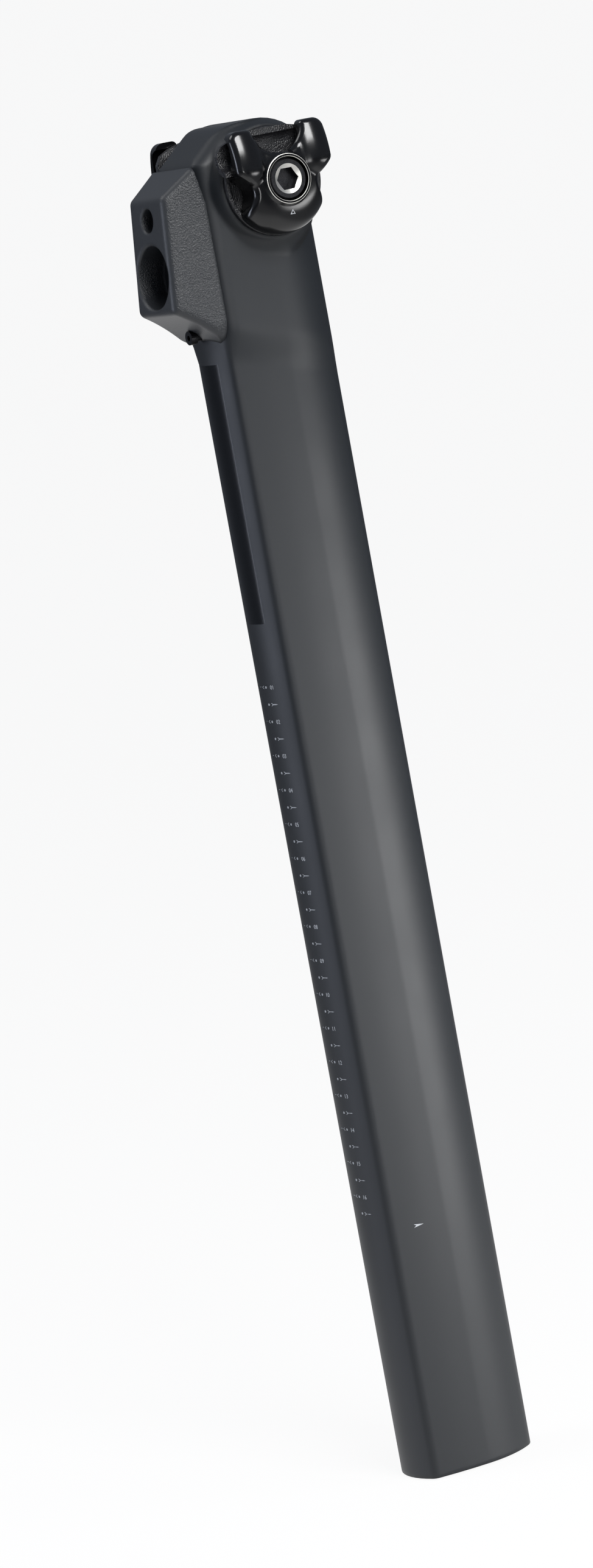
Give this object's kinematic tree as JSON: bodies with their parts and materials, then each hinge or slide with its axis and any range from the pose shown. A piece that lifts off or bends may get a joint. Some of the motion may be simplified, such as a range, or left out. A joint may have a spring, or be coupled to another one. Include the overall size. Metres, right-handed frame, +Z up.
{
  "type": "bicycle seatpost",
  "caption": "Aerofoil bicycle seatpost: slim tube, side-clamp head with hooked rail jaws on a cross bolt, and a rear housing with round sockets.",
  "frame": {"origin": "middle of the tube's lower end: mid chord and mid thickness, where it goes into the frame's seat tube", "axes": "+Z up along the tube to the saddle clamp, +Y forward to the rounded nose, +X to the rider's right, the bolt head's side"},
  "size_m": [0.0542, 0.0529, 0.393],
  "materials": {
    "carbon": "satin clear coat over moulded carbon",
    "cup": "blasted and black anodised",
    "ear": "forged, polished and black anodised",
    "bolt": "black oxide, with bright machined edges",
    "nut": "black oxide",
    "housing": "moulded, spark-eroded grain",
    "screw": "black oxide"
  },
  "bodies": {
    "post": {"post": "carbon", "rear_housing": "housing", "housing_screw": "screw"},
    "cradle": {"right_cup": "cup", "left_cup": "cup"},
    "right_jaw": {"right_ear": "ear", "bolt_washer": "bolt"},
    "left_jaw": {"left_ear": "ear", "clamp_nut": "nut"},
    "bolt": {"clamp_bolt": "bolt"}
  },
  "joints": [
    {"name": "saddle_tilt", "type": "hinge", "parent": "post", "child": "cradle", "pos_m": [0, 0.002, 0.375], "axis": [1, 0, 0], "range_deg": [-20, 20]},
    {"name": "right_jaw_slide", "type": "slide", "parent": "cradle", "child": "right_jaw", "axis": [1, 0, 0], "range_m": [0, 0.007]},
    {"name": "left_jaw_slide", "type": "slide", "parent": "cradle", "child": "left_jaw", "axis": [-1, 0, 0], "range_m": [0, 0.0071]},
    {"name": "bolt_turn", "type": "hinge", "parent": "right_jaw", "child": "bolt", "pos_m": [0, 0.002, 0.375], "axis": [1, 0, 0], "range_deg": [0, 5045]}
  ],
  "couplings": [
    {"joint": "left_jaw_slide", "follows": "right_jaw_slide", "ratio": 1},
    {"joint": "bolt_turn", "follows": "right_jaw_slide", "rad_per_m": 12566}
  ]
}
